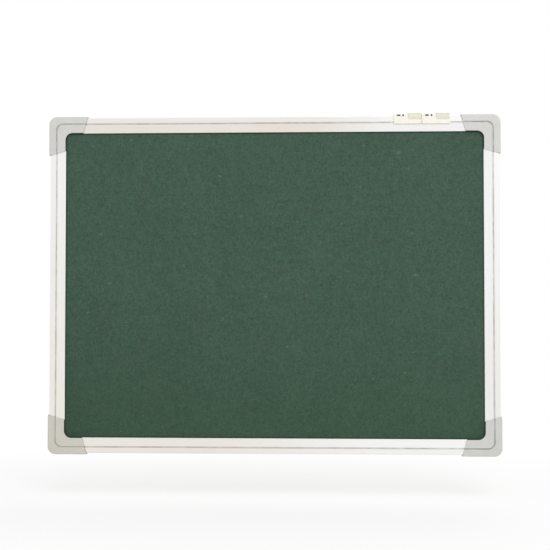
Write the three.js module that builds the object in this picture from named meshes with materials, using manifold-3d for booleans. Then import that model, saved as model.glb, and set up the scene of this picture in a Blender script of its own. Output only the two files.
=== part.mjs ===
// A fabric bulletin board, 600 x 450 mm: a felt-faced softboard panel in a frame of four
// aluminium rails, with a moulded cap round each corner and two hangers that slide on the top rail.
// Millimetres. +Z is up, +X is to the right, and the felt faces -Y. The plane Y = 0 is the wall.
// Z = 0 is the line of the nails that the hangers hook over, and X = 0 is the board's middle.
import * as THREE from "three";
import { mergeVertices } from "three/addons/utils/BufferGeometryUtils.js";
import Module from "manifold-3d";

const wasm = await Module();
wasm.setup();

// Overall size, measured over the corner caps.
const BOARD_WIDTH = 600;
const BOARD_HEIGHT = 450;

// Clearances between pieces.
const FIT = 0.3;
const HANGER_GAP = 0.6;

// How far a cutting solid reaches past the face that it cuts.
const OVERSHOOT = 1;

// Panel, from the wall side to the front.
const BACK_THICKNESS = 2.5;
const CORE_THICKNESS = 6.5;
const FELT_THICKNESS = 1.2;
const FELT_TURN_THICKNESS = 0.8;
const FELT_TURN_DEPTH = 4.5;

// Rail extrusion: widths are measured inwards from its outer face, depths from its rear face.
const RAIL_FACE = 20.5;
const RAIL_WALL = 1.3;
const RAIL_REAR_WALL = 2;
const RAIL_REAR_LIP = 18;
const RAIL_SLOT_FLOOR = 13.3;
const RAIL_LIP_EDGE = 2;
const RAIL_BAND_SLOPE = 1.5;
const RAIL_EDGE_RADIUS = 1.2;

// Where the caps cover the rails, the rails' front lips are cut back from the panel's opening.
const LIP_CUT_BACK = 3.2;
const LIP_CUT_COVERED = 0.4;

// The line that runs round the front of rails and caps, and its twin on the rails' back.
const GROOVE_FROM_EDGE = 10;
const GROOVE_MOUTH = 2.2;
const GROOVE_FLOOR = 1.2;
const RAIL_GROOVE_DEPTH = 1;
const REAR_GROOVE_DEPTH = 0.8;
const CAP_GROOVE_DEPTH = 0.9;

// Corner cap: widths are measured inwards from the board's outer edge.
const CAP_WALL = 1.4;
const CAP_BACK = 2;
const CAP_FACE = 21.5;
const CAP_REAR_REACH = 17.5;
const CAP_LEG_OUTER = 52;
const CAP_LEG_INNER = 46;
const CAP_CORNER_RADIUS = 10.5;
const CAP_GROOVE_RADIUS = 8.5;
const CAP_OPENING_RADIUS = 9.5;
const CAP_EDGE_RADIUS = 1.6;
const CAP_BEND_STEPS = 8;

// Corner key inside the rail ends.
const KEY_LEG = 58;
const KEY_CORNER_RADIUS = 10;
const KEY_RIB = 1.6;
const KEY_TIP_TAPER = 1.5;
const KEY_TIP_RUN = 3;
const KEY_POCKET_FLOOR = 1.8;

// Countersunk screws through the back of each cap leg.
const SCREW_ALONG = 36;
const SCREW_SHANK_RADIUS = 1.45;
const SCREW_HEAD_RADIUS = 2.9;
const SCREW_HEAD_DEPTH = 1.4;
const SCREW_RIM = 0.2;
const SCREW_LENGTH = 9.5;
const SCREW_POINT = 2;
const SCREW_SUNK = 0.2;
const SCREW_BOSS = 10;

// Sliding hangers.
const HANGER_LENGTH = 36.6;
const HANGER_PARKED_GAP = 14.6;
const HANGER_WALL = 1.6;
const HANGER_LIP = 1.4;
const HANGER_WEB = 1.3;
const HANGER_CHIN = 2.3;
const HANGER_TOE = 0.9;
const HANGER_TOE_REACH = 0.6;
const HANGER_REAR_TOE_REACH = 0.4;
const HANGER_OFF_WALL = 0.4;
const GRIP_LENGTH = 18.3;
const GRIP_END_INSET = 0.3;
const GRIP_RISE = 1.7;
const GRIP_PROUD = 0.9;
const GRIP_DROP = 6.6;
const GRIP_RADIUS = 0.8;
const WINDOW_WIDTHS = [4.6, 2.3];
const WINDOW_FIRST = 4.2;
const WINDOW_BAR = 2.5;
const WINDOW_ROOF = 0.6;
const WINDOW_HEIGHT = 1.6;
const WINDOW_DEPTH = 4.5;
const PLATE_WIDTH = 24;
const PLATE_DROP = 42;
const PLATE_CORNER = 6;
const KEYHOLE_HEAD_RADIUS = 4;
const KEYHOLE_NECK_RADIUS = 2;
const KEYHOLE_NECK_LENGTH = 8;
const KEYHOLE_TOP = 24;

// Depths from the wall, worked out from the stack of pieces.
const RAIL_REAR = CAP_BACK + FIT;
const BACK_REAR = RAIL_REAR + RAIL_WALL + FIT;
const CORE_REAR = BACK_REAR + BACK_THICKNESS + FIT;
const FELT_REAR = CORE_REAR + CORE_THICKNESS + FIT;
const FELT_FRONT = FELT_REAR + FELT_THICKNESS;
const LIP_REAR = FELT_FRONT + FIT;
const LIP_FRONT = LIP_REAR + RAIL_LIP_EDGE;
const RAIL_FRONT = LIP_FRONT + RAIL_BAND_SLOPE;
const CAP_SHELL = FIT + CAP_WALL;
const CAP_FRONT = RAIL_FRONT + CAP_SHELL;

// Widths from the board's outer edge.
const RAIL_OUTER = FIT + CAP_WALL;
const RAIL_INNER = RAIL_OUTER + RAIL_FACE;
const RAIL_END = RAIL_INNER + FIT;
const PANEL_EDGE = RAIL_OUTER + RAIL_SLOT_FLOOR + FIT;
const CHAMBER_OUTER = RAIL_OUTER + RAIL_WALL;
const CHAMBER_INNER = RAIL_OUTER + RAIL_SLOT_FLOOR - RAIL_WALL;
const CHAMBER_REAR = RAIL_REAR + RAIL_REAR_WALL;
const CHAMBER_FRONT = RAIL_FRONT - RAIL_GROOVE_DEPTH - RAIL_WALL;
const SCREW_ACROSS = (CHAMBER_OUTER + CHAMBER_INNER) / 2;
const BAND_FROM = GROOVE_FROM_EDGE + GROOVE_MOUTH / 2;
const LIP_NOSE = RAIL_LIP_EDGE / 2;

// The nails lie at the centre of the round end of the keyholes' necks, and that line is Z = 0.
const BOARD_TOP = KEYHOLE_TOP + KEYHOLE_NECK_RADIUS;

// Materials, one for each finish.
const finish = (color, roughness, metalness) =>
  new THREE.MeshStandardMaterial({ color, roughness, metalness });
const ALUMINIUM = finish(0xe9e8e4, 0.35, 0.8);
const GREY_PLASTIC = finish(0xcfcfca, 0.5, 0);
const KEY_PLASTIC = finish(0xb9bab6, 0.55, 0);
const CREAM_PLASTIC = finish(0xece9db, 0.45, 0);
const FELT = finish(0x44604e, 0.95, 0);
const SOFTBOARD = finish(0xa98b63, 0.9, 0);
const HARDBOARD = finish(0x8a6844, 0.75, 0);
const ZINC = finish(0xb8bcc0, 0.35, 0.9);

// Points of an arc about (x, y), from one angle to another in degrees.
function arc(x, y, radius, from, to, steps) {
  return Array.from({ length: steps + 1 }, (_, i) => {
    const angle = THREE.MathUtils.degToRad(from + ((to - from) * i) / steps);
    return [x + radius * Math.cos(angle), y + radius * Math.sin(angle)];
  });
}

function shapeOf(points, holes = []) {
  const path = (list) => list.map(([x, y]) => new THREE.Vector2(x, y));
  const shape = new THREE.Shape(path(points));
  shape.holes = holes.map((hole) => new THREE.Path(path(hole)));
  return shape;
}

function prism(points, depth, holes) {
  return new THREE.ExtrudeGeometry(shapeOf(points, holes), { depth, bevelEnabled: false });
}

// A closed geometry as a solid for joining and cutting.
function solidOf(geometry) {
  const bare = geometry.clone();
  bare.deleteAttribute("normal");
  bare.deleteAttribute("uv");
  const merged = mergeVertices(bare, 1e-4);
  const mesh = new wasm.Mesh({
    numProp: 3,
    vertProperties: new Float32Array(merged.attributes.position.array),
    triVerts: new Uint32Array(merged.index.array),
  });
  return new wasm.Manifold(mesh);
}

function geometryOf(solid) {
  const mesh = solid.getMesh();
  const geometry = new THREE.BufferGeometry();
  geometry.setAttribute("position", new THREE.BufferAttribute(mesh.vertProperties, 3));
  geometry.setIndex(new THREE.BufferAttribute(mesh.triVerts, 1));
  const flat = geometry.toNonIndexed();
  flat.computeVertexNormals();
  return flat;
}

function cut(solid, tools) {
  return tools.reduce((left, tool) => left.subtract(tool), solid);
}

function join(solids) {
  return solids.reduce((whole, next) => whole.add(next));
}

// A side's own frame: X runs along the side, Z is the board's outer edge less the width, and
// Y is minus the depth. A section of [width, depth] points runs from X = from to X = to.
function alongSide(section, from, to, holes) {
  const turned = new THREE.Matrix4().makeBasis(
    new THREE.Vector3(0, 0, -1),
    new THREE.Vector3(0, -1, 0),
    new THREE.Vector3(-1, 0, 0),
  );
  turned.setPosition(to, 0, 0);
  return prism(section, to - from, holes).applyMatrix4(turned);
}

// A shape of [x, width] points with its rear face at one depth and its front face at another.
function throughDepth(outline, rear, front) {
  const upright = outline.map(([x, width]) => [x, -width]);
  return prism(upright, front - rear).rotateX(Math.PI / 2).translate(0, -rear, 0);
}

function block(x0, x1, width0, width1, rear, front) {
  const outline = [
    [x0, width0],
    [x1, width0],
    [x1, width1],
    [x0, width1],
  ];
  return throughDepth(outline, rear, front);
}

// A round piece on an axis square to the wall, from [radius, depth] points.
function turnedPiece(profile, x, width, segments = 20) {
  const points = profile.map(([radius, depth]) => new THREE.Vector2(radius, -depth));
  return new THREE.LatheGeometry(points.reverse(), segments).translate(x, 0, -width);
}

// How deep the front of a rail lies at a width, on the band that slopes from the groove to the lip.
function bandFront(width) {
  const share = (width - BAND_FROM) / (RAIL_INNER - LIP_NOSE - BAND_FROM);
  return THREE.MathUtils.lerp(RAIL_FRONT, LIP_FRONT, share);
}

// The rail's section, with its front lip, panel slot, rear lip and the two hanger grooves.
function railSection() {
  const outer = RAIL_OUTER;
  const edge = RAIL_EDGE_RADIUS;
  const grooveIn = GROOVE_FROM_EDGE - GROOVE_MOUTH / 2;
  const floorIn = GROOVE_FROM_EDGE - GROOVE_FLOOR / 2;
  const floorOut = GROOVE_FROM_EDGE + GROOVE_FLOOR / 2;
  const fromRear = RAIL_REAR + REAR_GROOVE_DEPTH;
  return [
    ...arc(outer + edge, RAIL_REAR + edge, edge, 180, 270, 3),
    [grooveIn, RAIL_REAR],
    [floorIn, fromRear],
    [floorOut, fromRear],
    [BAND_FROM, RAIL_REAR],
    [outer + RAIL_REAR_LIP, RAIL_REAR],
    [outer + RAIL_REAR_LIP, RAIL_REAR + RAIL_WALL],
    [outer + RAIL_SLOT_FLOOR, RAIL_REAR + RAIL_WALL],
    [outer + RAIL_SLOT_FLOOR, LIP_REAR],
    ...arc(RAIL_INNER - LIP_NOSE, LIP_REAR + LIP_NOSE, LIP_NOSE, -90, 90, 6),
    [BAND_FROM, RAIL_FRONT],
    [floorOut, RAIL_FRONT - RAIL_GROOVE_DEPTH],
    [floorIn, RAIL_FRONT - RAIL_GROOVE_DEPTH],
    [grooveIn, RAIL_FRONT],
    ...arc(outer + edge, RAIL_FRONT - edge, edge, 90, 180, 3),
  ];
}

function chamberSection() {
  return [
    [CHAMBER_OUTER, CHAMBER_REAR],
    [CHAMBER_INNER, CHAMBER_REAR],
    [CHAMBER_INNER, CHAMBER_FRONT],
    [CHAMBER_OUTER, CHAMBER_FRONT],
  ];
}

// The piece that comes off a rail's front lip at one end, where the cap lies over it.
function lipCut(sideLength, end) {
  const corner = end * (sideLength / 2);
  const covered = corner - end * (CAP_LEG_INNER - LIP_CUT_COVERED);
  const [from, to] = [Math.min(corner, covered), Math.max(corner, covered)];
  const [lip, past] = [RAIL_INNER - LIP_CUT_BACK, RAIL_INNER + OVERSHOOT];
  return solidOf(block(from, to, lip, past, LIP_REAR - OVERSHOOT, RAIL_FRONT));
}

// One rail for a side of the given length, cut square at both ends and drilled for its screws.
function rail(sideLength) {
  const half = sideLength / 2 - RAIL_END;
  const bar = solidOf(alongSide(railSection(), -half, half, [chamberSection()]));
  const holeRadius = SCREW_SHANK_RADIUS + FIT;
  const drills = [-1, 1].map((end) => {
    const x = end * (sideLength / 2 - SCREW_ALONG);
    const hole = [
      [0, RAIL_REAR - OVERSHOOT],
      [holeRadius, RAIL_REAR - OVERSHOOT],
      [holeRadius, CHAMBER_REAR + OVERSHOOT],
      [0, CHAMBER_REAR + OVERSHOOT],
    ];
    return solidOf(turnedPiece(hole, x, SCREW_ACROSS));
  });
  const lips = [-1, 1].map((end) => lipCut(sideLength, end));
  return geometryOf(cut(bar, [...drills, ...lips]));
}

// The bend radius that a point of the cap's section follows, from its width off the outer edge.
function bendRadius(width) {
  const inner = width > GROOVE_FROM_EDGE;
  const share = inner
    ? (width - GROOVE_FROM_EDGE) / (CAP_FACE - GROOVE_FROM_EDGE)
    : width / GROOVE_FROM_EDGE;
  const [from, to] = inner
    ? [CAP_GROOVE_RADIUS, CAP_OPENING_RADIUS]
    : [CAP_CORNER_RADIUS, CAP_GROOVE_RADIUS];
  return THREE.MathUtils.lerp(from, to, share);
}

// Where the cap's leg ends: its end is cut on a slant, longer at the outer edge.
function legEnd(width) {
  return THREE.MathUtils.lerp(CAP_LEG_OUTER, CAP_LEG_INNER, width / CAP_FACE);
}

// The cap's section: a C of one wall that is open towards the panel.
function capSection() {
  const edge = CAP_EDGE_RADIUS;
  const grooveIn = GROOVE_FROM_EDGE - GROOVE_MOUTH / 2;
  const floorIn = GROOVE_FROM_EDGE - GROOVE_FLOOR / 2;
  const floorOut = GROOVE_FROM_EDGE + GROOVE_FLOOR / 2;
  const lipFront = bandFront(CAP_FACE) + CAP_SHELL;
  const inside = CAP_FRONT - CAP_WALL;
  return [
    ...arc(edge, edge, edge, 180, 270, 3),
    [CAP_REAR_REACH, 0],
    [CAP_REAR_REACH, CAP_BACK],
    [CAP_WALL, CAP_BACK],
    [CAP_WALL, inside],
    [BAND_FROM, inside],
    [CAP_FACE, lipFront - CAP_WALL],
    ...arc(CAP_FACE - CAP_WALL / 2, lipFront - CAP_WALL / 2, CAP_WALL / 2, 0, 80, 3),
    [BAND_FROM, CAP_FRONT],
    [floorOut, CAP_FRONT - CAP_GROOVE_DEPTH],
    [floorIn, CAP_FRONT - CAP_GROOVE_DEPTH],
    [grooveIn, CAP_FRONT],
    ...arc(edge, CAP_FRONT - edge, edge, 90, 180, 3),
  ];
}

// Carries a section round a corner: each of its points follows its own rounded L. The corner's
// frame has X along one side, Z = minus the width down the other, and Y = minus the depth.
function sweepCorner(section) {
  const stations = [
    (width) => [legEnd(width), width],
    ...arc(0, 0, 1, 270, 180, CAP_BEND_STEPS).map(([x, y]) => (width) => {
      const radius = bendRadius(width);
      return [width + radius * (1 + x), width + radius * (1 + y)];
    }),
    (width) => [width, legEnd(width)],
  ];
  const count = section.length;
  const positions = stations.flatMap((place) =>
    section.flatMap(([width, depth]) => {
      const [across, down] = place(width);
      return [across, -depth, -down];
    }),
  );
  const faces = [];
  for (let s = 0; s < stations.length - 1; s += 1) {
    for (let i = 0; i < count; i += 1) {
      const next = (i + 1) % count;
      const [a, b] = [s * count + i, s * count + next];
      faces.push(a, b, a + count, b, b + count, a + count);
    }
  }
  const flat = section.map(([x, y]) => new THREE.Vector2(x, y));
  const last = (stations.length - 1) * count;
  for (const [a, b, c] of THREE.ShapeUtils.triangulateShape(flat, [])) {
    faces.push(a, c, b, last + a, last + b, last + c);
  }
  const geometry = new THREE.BufferGeometry();
  geometry.setAttribute("position", new THREE.Float32BufferAttribute(positions, 3));
  geometry.setIndex(faces);
  return geometry;
}

// The two screw places of a corner, one in each leg, as [x, width] in the corner's frame.
const SCREW_PLACES = [
  [SCREW_ALONG, SCREW_ACROSS],
  [SCREW_ACROSS, SCREW_ALONG],
];

function screwProfile(grow) {
  const rear = grow ? -OVERSHOOT : SCREW_SUNK;
  const shank = SCREW_SHANK_RADIUS + grow;
  const head = SCREW_HEAD_RADIUS + grow;
  const neck = SCREW_SUNK + SCREW_HEAD_DEPTH;
  const tip = SCREW_SUNK + SCREW_LENGTH + grow;
  const rim = grow ? SCREW_SUNK : SCREW_SUNK + SCREW_RIM;
  return [
    [0, rear],
    [head, rear],
    [head, rim],
    [shank, neck],
    [shank, tip - SCREW_POINT],
    [0, tip],
  ];
}

function screwHole([x, width]) {
  return solidOf(turnedPiece(screwProfile(FIT), x, width));
}

function cornerCap() {
  const shell = solidOf(sweepCorner(capSection()));
  return geometryOf(cut(shell, SCREW_PLACES.map(screwHole)));
}

// The L-shaped key that plugs into both rails, hollowed from the front between its ribs.
function cornerKey() {
  const outer = CHAMBER_OUTER + FIT;
  const inner = CHAMBER_INNER - FIT;
  const bend = outer + KEY_CORNER_RADIUS;
  const taper = KEY_TIP_TAPER;
  const outline = [
    ...arc(bend, bend, KEY_CORNER_RADIUS, 180, 270, 6),
    [KEY_LEG - KEY_TIP_RUN, outer],
    [KEY_LEG, outer + taper],
    [KEY_LEG, inner - taper],
    [KEY_LEG - KEY_TIP_RUN, inner],
    [inner, inner],
    [inner, KEY_LEG - KEY_TIP_RUN],
    [inner - taper, KEY_LEG],
    [outer + taper, KEY_LEG],
    [outer, KEY_LEG - KEY_TIP_RUN],
  ];
  const rear = CHAMBER_REAR + FIT;
  const front = CHAMBER_FRONT - FIT;
  const floor = rear + KEY_POCKET_FLOOR;
  const bossStart = SCREW_ALONG - SCREW_BOSS / 2;
  const bossEnd = SCREW_ALONG + SCREW_BOSS / 2;
  const pockets = [
    [inner + KEY_RIB, bossStart],
    [bossEnd, KEY_LEG - taper - KEY_RIB],
  ].flatMap(([from, to]) => {
    const [low, high] = [outer + KEY_RIB, inner - KEY_RIB];
    return [
      solidOf(block(from, to, low, high, floor, front + OVERSHOOT)),
      solidOf(block(low, high, from, to, floor, front + OVERSHOOT)),
    ];
  });
  const body = solidOf(throughDepth(outline, rear, front));
  return geometryOf(cut(body, [...pockets, ...SCREW_PLACES.map(screwHole)]));
}

// A hanger, with X = 0 at the middle of its length, in the top side's frame.
function saddleSection() {
  const groove = GROOVE_FROM_EDGE;
  const toe = HANGER_TOE / 2;
  const inside = RAIL_OUTER - FIT;
  const top = inside - HANGER_WEB;
  const lipInside = RAIL_FRONT + FIT;
  const lipFront = lipInside + HANGER_LIP;
  const rearInside = RAIL_REAR - FIT;
  const edge = HANGER_LIP / 2;
  const chin = groove + toe + HANGER_CHIN;
  return [
    ...arc(top + edge, lipFront - edge, edge, 180, 90, 3),
    [chin, lipFront],
    [chin, lipInside],
    [groove + toe, lipInside],
    [groove + toe, RAIL_FRONT - HANGER_TOE_REACH],
    [groove - toe, RAIL_FRONT - HANGER_TOE_REACH],
    [groove - toe, lipInside],
    [inside, lipInside],
    [inside, rearInside],
    [groove - toe, rearInside],
    [groove, RAIL_REAR + HANGER_REAR_TOE_REACH],
    [groove + toe, rearInside],
    [groove + HANGER_WALL, rearInside],
    [groove + HANGER_WALL, HANGER_OFF_WALL],
    [top, HANGER_OFF_WALL],
  ].reverse();
}

// The raised grip on the hanger's right half: a thicker wrap over the saddle's top and front.
function gripSection() {
  const top = RAIL_OUTER - FIT - HANGER_WEB - GRIP_RISE;
  const front = RAIL_FRONT + FIT + HANGER_LIP + GRIP_PROUD;
  const r = GRIP_RADIUS;
  const web = RAIL_OUTER - FIT - HANGER_WEB / 2;
  const lip = RAIL_FRONT + FIT + HANGER_LIP / 2;
  return [
    ...arc(top + r, RAIL_REAR + r, r, 180, 270, 3),
    [web, RAIL_REAR],
    [web, lip],
    [GRIP_DROP, lip],
    ...arc(GRIP_DROP - r, front - r, r, 0, 90, 3),
    ...arc(top + r, front - r, r, 90, 180, 3),
  ];
}

// The plate behind the rail, with a keyhole that takes the head of a nail or a screw.
function keyholePlate() {
  const half = PLATE_WIDTH / 2;
  const corner = PLATE_CORNER;
  const outline = [
    [-half, GROOVE_FROM_EDGE],
    [half, GROOVE_FROM_EDGE],
    ...arc(half - corner, PLATE_DROP - corner, corner, 0, 90, 5),
    ...arc(corner - half, PLATE_DROP - corner, corner, 90, 180, 5),
  ];
  const neckTop = KEYHOLE_TOP + KEYHOLE_NECK_RADIUS;
  const headCentre = neckTop + KEYHOLE_NECK_LENGTH;
  const shoulder = THREE.MathUtils.radToDeg(Math.asin(KEYHOLE_NECK_RADIUS / KEYHOLE_HEAD_RADIUS));
  const keyhole = [
    ...arc(0, neckTop, KEYHOLE_NECK_RADIUS, 180, 360, 8),
    ...arc(0, headCentre, KEYHOLE_HEAD_RADIUS, shoulder - 90, 270 - shoulder, 16),
  ];
  const front = HANGER_OFF_WALL + HANGER_WALL;
  const plate = solidOf(throughDepth(outline, HANGER_OFF_WALL, front));
  const cutter = throughDepth(keyhole, HANGER_OFF_WALL - OVERSHOOT, front + OVERSHOOT);
  return plate.subtract(solidOf(cutter));
}

function hangerWindows() {
  const roof = RAIL_OUTER - FIT - HANGER_WEB + WINDOW_ROOF;
  const front = RAIL_FRONT + FIT + HANGER_LIP;
  let x = WINDOW_FIRST - HANGER_LENGTH / 2;
  return WINDOW_WIDTHS.map((wide) => {
    const [low, high] = [roof, roof + WINDOW_HEIGHT];
    const hole = block(x, x + wide, low, high, front - WINDOW_DEPTH, front + OVERSHOOT);
    x += wide + WINDOW_BAR;
    return solidOf(hole);
  });
}

function hanger() {
  const half = HANGER_LENGTH / 2;
  const saddle = cut(solidOf(alongSide(saddleSection(), -half, half)), hangerWindows());
  const grip = solidOf(alongSide(gripSection(), half - GRIP_LENGTH, half - GRIP_END_INSET));
  return geometryOf(join([saddle, grip, keyholePlate()]));
}

// The panel: the same rectangle for the back and, inside the felt's turned edge, the core.
function panelSheet(edge, rear, front) {
  const halfWidth = BOARD_WIDTH / 2 - edge;
  return block(-halfWidth, halfWidth, edge, BOARD_HEIGHT - edge, rear, front);
}

// The felt lies over the core's front and turns down round its four edges.
function feltCover() {
  const inside = PANEL_EDGE + FELT_TURN_THICKNESS;
  const turn = FELT_REAR - FELT_TURN_DEPTH;
  const outer = solidOf(panelSheet(PANEL_EDGE, turn, FELT_FRONT));
  return geometryOf(outer.subtract(solidOf(panelSheet(inside, turn - OVERSHOOT, FELT_REAR))));
}

const board = new THREE.Group();

function addPiece(parent, name, geometry, material) {
  const mesh = new THREE.Mesh(geometry, material);
  mesh.name = name;
  parent.add(mesh);
  return mesh;
}

// A group whose frame follows one side or corner of the board, a quarter turn for each.
function frameAt(x, z, quarterTurns) {
  const group = new THREE.Group();
  group.position.set(x, 0, z);
  group.rotation.y = (quarterTurns * Math.PI) / 2;
  board.add(group);
  return group;
}

const MIDDLE = BOARD_TOP - BOARD_HEIGHT / 2;
const HALF_WIDTH = BOARD_WIDTH / 2;
const HALF_HEIGHT = BOARD_HEIGHT / 2;

const sides = {
  top: { x: 0, z: BOARD_TOP, turns: 0, length: BOARD_WIDTH },
  right: { x: HALF_WIDTH, z: MIDDLE, turns: 1, length: BOARD_HEIGHT },
  bottom: { x: 0, z: MIDDLE - HALF_HEIGHT, turns: 2, length: BOARD_WIDTH },
  left: { x: -HALF_WIDTH, z: MIDDLE, turns: 3, length: BOARD_HEIGHT },
};

const sideFrames = {};
for (const [name, side] of Object.entries(sides)) {
  sideFrames[name] = frameAt(side.x, side.z, side.turns);
  addPiece(sideFrames[name], "rail_" + name, rail(side.length), ALUMINIUM);
}

const corners = {
  top_left: { x: -HALF_WIDTH, z: BOARD_TOP, turns: 0 },
  top_right: { x: HALF_WIDTH, z: BOARD_TOP, turns: 1 },
  bottom_right: { x: HALF_WIDTH, z: MIDDLE - HALF_HEIGHT, turns: 2 },
  bottom_left: { x: -HALF_WIDTH, z: MIDDLE - HALF_HEIGHT, turns: 3 },
};

const capGeometry = cornerCap();
const keyGeometry = cornerKey();
for (const [name, corner] of Object.entries(corners)) {
  const frame = frameAt(corner.x, corner.z, corner.turns);
  addPiece(frame, "corner_cap_" + name, capGeometry, GREY_PLASTIC);
  addPiece(frame, "corner_key_" + name, keyGeometry, KEY_PLASTIC);
  SCREW_PLACES.forEach(([x, width], i) => {
    const screw = turnedPiece(screwProfile(0), x, width, 16);
    addPiece(frame, "cap_screw_" + name + "_" + (i + 1), screw, ZINC);
  });
}

const hangerGeometry = hanger();
const pitch = HANGER_LENGTH + HANGER_GAP;
const parkedX = HALF_WIDTH - CAP_LEG_OUTER - HANGER_PARKED_GAP - HANGER_LENGTH / 2;
const leftHanger = addPiece(sideFrames.top, "hanger_left", hangerGeometry, CREAM_PLASTIC);
leftHanger.position.x = parkedX - pitch;
const rightHanger = addPiece(sideFrames.top, "hanger_right", hangerGeometry, CREAM_PLASTIC);
rightHanger.position.x = parkedX;

const coreEdge = PANEL_EDGE + FELT_TURN_THICKNESS + FIT;
const core = panelSheet(coreEdge, CORE_REAR, CORE_REAR + CORE_THICKNESS);
const back = panelSheet(PANEL_EDGE, BACK_REAR, BACK_REAR + BACK_THICKNESS);
addPiece(sideFrames.top, "softboard_core", core, SOFTBOARD);
addPiece(sideFrames.top, "hardboard_back", back, HARDBOARD);
addPiece(sideFrames.top, "felt_cover", feltCover(), FELT);

export default board;
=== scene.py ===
# %% [markdown]
# A fabric bulletin board: green felt over a softboard panel, in a frame of four aluminium rails
# with a moulded cap round each corner, and two small hangers on the top rail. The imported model
# gives every piece its size and place, so it is loaded first, and nothing below is fitted by eye.

# %% Load the frame
import math
import random

import bmesh
import bpy
from mathutils import Matrix, Vector, noise


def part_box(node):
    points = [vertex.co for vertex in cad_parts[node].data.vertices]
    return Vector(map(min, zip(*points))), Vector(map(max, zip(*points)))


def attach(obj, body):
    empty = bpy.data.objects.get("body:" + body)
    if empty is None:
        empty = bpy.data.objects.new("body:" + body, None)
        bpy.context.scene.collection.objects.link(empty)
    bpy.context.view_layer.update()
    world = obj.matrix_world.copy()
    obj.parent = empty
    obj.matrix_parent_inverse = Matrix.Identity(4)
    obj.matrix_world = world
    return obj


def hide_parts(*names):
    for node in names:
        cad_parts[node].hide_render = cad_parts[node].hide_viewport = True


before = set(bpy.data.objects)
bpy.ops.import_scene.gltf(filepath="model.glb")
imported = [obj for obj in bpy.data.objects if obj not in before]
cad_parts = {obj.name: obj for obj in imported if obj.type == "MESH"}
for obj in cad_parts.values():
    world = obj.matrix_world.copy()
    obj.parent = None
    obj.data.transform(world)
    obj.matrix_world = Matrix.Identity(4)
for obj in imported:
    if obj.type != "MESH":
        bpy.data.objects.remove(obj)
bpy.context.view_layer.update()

MM = 0.001
print("pieces in the frame:", len(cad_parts))

# %% [markdown]
# The camera is settled first. It stands in front of the board, a little to its right and almost
# level with its middle, so the right and lower edges come out a trifle longer than the left and
# upper ones. Its place and turn were worked out from the board's four corners.

# %% The camera
CAMERA_PLACE = Vector((0.049, -1.3, -0.219))
CAMERA_YAW = math.radians(-2.08)
CAMERA_PITCH = math.radians(1.47)
CAMERA_LENS_MM = 63.4
CAMERA_SENSOR_MM = 36


def show(name, data):
    made = bpy.data.objects.new(name, data)
    bpy.context.scene.collection.objects.link(made)
    return made


def add_camera():
    data = bpy.data.cameras.new("camera")
    data.lens = CAMERA_LENS_MM
    data.sensor_width = CAMERA_SENSOR_MM
    data.clip_start = 0.01
    camera = show("camera", data)
    camera.location = CAMERA_PLACE
    camera.rotation_euler = (math.pi / 2 + CAMERA_PITCH, 0, -CAMERA_YAW)
    bpy.context.scene.camera = camera
    return camera


print("camera at", tuple(round(x, 3) for x in add_camera().location))

# %% [markdown]
# Sizes come from the boxes of the frame's own nodes, apart from details of a section that a box
# can't give. Widths are measured from the board's outer edge inwards and depths from the wall
# forwards, in millimetres, as a frame maker draws a rail. Rails and caps share one groove, which
# runs all round the frame.

# %% Sizes from the frame
CAP_LOW, CAP_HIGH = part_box("corner_cap_top_left")
FAR_LOW, FAR_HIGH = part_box("corner_cap_bottom_right")
RAIL_LOW, RAIL_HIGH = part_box("rail_top")
FELT_LOW, FELT_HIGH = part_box("felt_cover")

BOARD_LEFT, BOARD_RIGHT = CAP_LOW.x / MM, FAR_HIGH.x / MM
BOARD_BOTTOM, BOARD_TOP = FAR_LOW.z / MM, CAP_HIGH.z / MM
BOARD_WIDTH, BOARD_HEIGHT = BOARD_RIGHT - BOARD_LEFT, BOARD_TOP - BOARD_BOTTOM
MIDDLE_Z = (BOARD_TOP + BOARD_BOTTOM) / 2
CAP_FRONT = -CAP_LOW.y / MM
CAP_LEG_OUTER, CAP_LEG_INNER = (CAP_HIGH.x - CAP_LOW.x) / MM, 46.0
RAIL_OUTER, RAIL_INNER = BOARD_TOP - RAIL_HIGH.z / MM, BOARD_TOP - RAIL_LOW.z / MM
RAIL_REAR, RAIL_FRONT = -RAIL_HIGH.y / MM, -RAIL_LOW.y / MM
RAIL_END = RAIL_LOW.x / MM - BOARD_LEFT
FELT_EDGE = BOARD_TOP - FELT_HIGH.z / MM
FELT_TURN, FELT_FRONT = -FELT_HIGH.y / MM, -FELT_LOW.y / MM

GROOVE = 10.0
GROOVE_MOUTH = 2.2
GROOVE_FLOOR = 1.2


def groove(face, depth):
    """The groove's points in a face, from its inner edge to its outer one."""
    mouth, floor = GROOVE_MOUTH / 2, GROOVE_FLOOR / 2
    return [
        (GROOVE + mouth, face),
        (GROOVE + floor, face - depth),
        (GROOVE - floor, face - depth),
        (GROOVE - mouth, face),
    ]


print("board", BOARD_WIDTH, "x", BOARD_HEIGHT, "mm, depth", CAP_FRONT)

# %% [markdown]
# A few small helpers do the building. The main one closes a row of equal rings into a skin, which
# is all that a swept or lofted piece needs. Long edges get points close to their ends, so that
# wear, which is found from the shape, stays near the corners.

# %% Helpers for meshes
SMOOTH_ANGLE = math.radians(32)
BEVEL_ANGLE = math.radians(40)


def finish_mesh(mesh):
    work = bmesh.new()
    work.from_mesh(mesh)
    bmesh.ops.recalc_face_normals(work, faces=work.faces)
    work.to_mesh(mesh)
    work.free()
    mesh.shade_smooth()
    mesh.set_sharp_from_angle(angle=SMOOTH_ANGLE)


def new_object(name, points, faces):
    mesh = bpy.data.meshes.new(name)
    mesh.from_pydata([tuple(c * MM for c in p) for p in points], [], faces)
    finish_mesh(mesh)
    return show(name, mesh)


def arc(x, y, radius, start, end, steps):
    found = []
    for i in range(steps + 1):
        angle = math.radians(start + (end - start) * i / steps)
        found.append((x + radius * math.cos(angle), y + radius * math.sin(angle)))
    return found


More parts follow.
